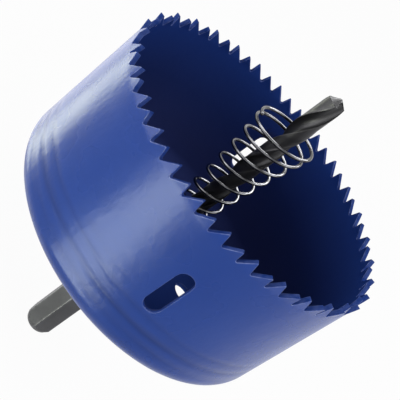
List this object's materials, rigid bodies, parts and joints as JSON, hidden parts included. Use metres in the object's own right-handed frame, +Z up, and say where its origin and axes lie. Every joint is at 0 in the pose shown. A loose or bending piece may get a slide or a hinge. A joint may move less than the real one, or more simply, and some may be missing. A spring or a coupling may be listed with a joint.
{
  "type": "hole saw",
  "caption": "Cup-shaped hole saw: a toothed steel band on a drawn cap, carried on a hex-shank arbor with a pilot drill and a conical ejector spring.",
  "frame": {"origin": "middle of the shank's end face, the lowest point of the tool", "axes": "+Z up the tool's axis, from the shank to the drill's point; +X towards the set screw and the first drive hole; the camera of the picture stands on the -Y side"},
  "size_m": [0.0992, 0.0988, 0.1276],
  "materials": {
    "blue_paint": "gloss blue lacquer over steel sheet",
    "arbor_steel": "satin grey steel",
    "screw_steel": "black oxide",
    "fastener_steel": "bright zinc plate",
    "drill_steel": "black oxide, satin",
    "spring_steel": "bright drawn wire"
  },
  "bodies": {
    "root": {"toothed_band": "blue_paint", "end_cap": "blue_paint", "arbor": "arbor_steel", "set_screw": "screw_steel", "spring_washer": "fastener_steel", "arbor_nut": "fastener_steel", "pilot_drill": "drill_steel", "ejector_spring": "spring_steel"}
  },
  "joints": []
}
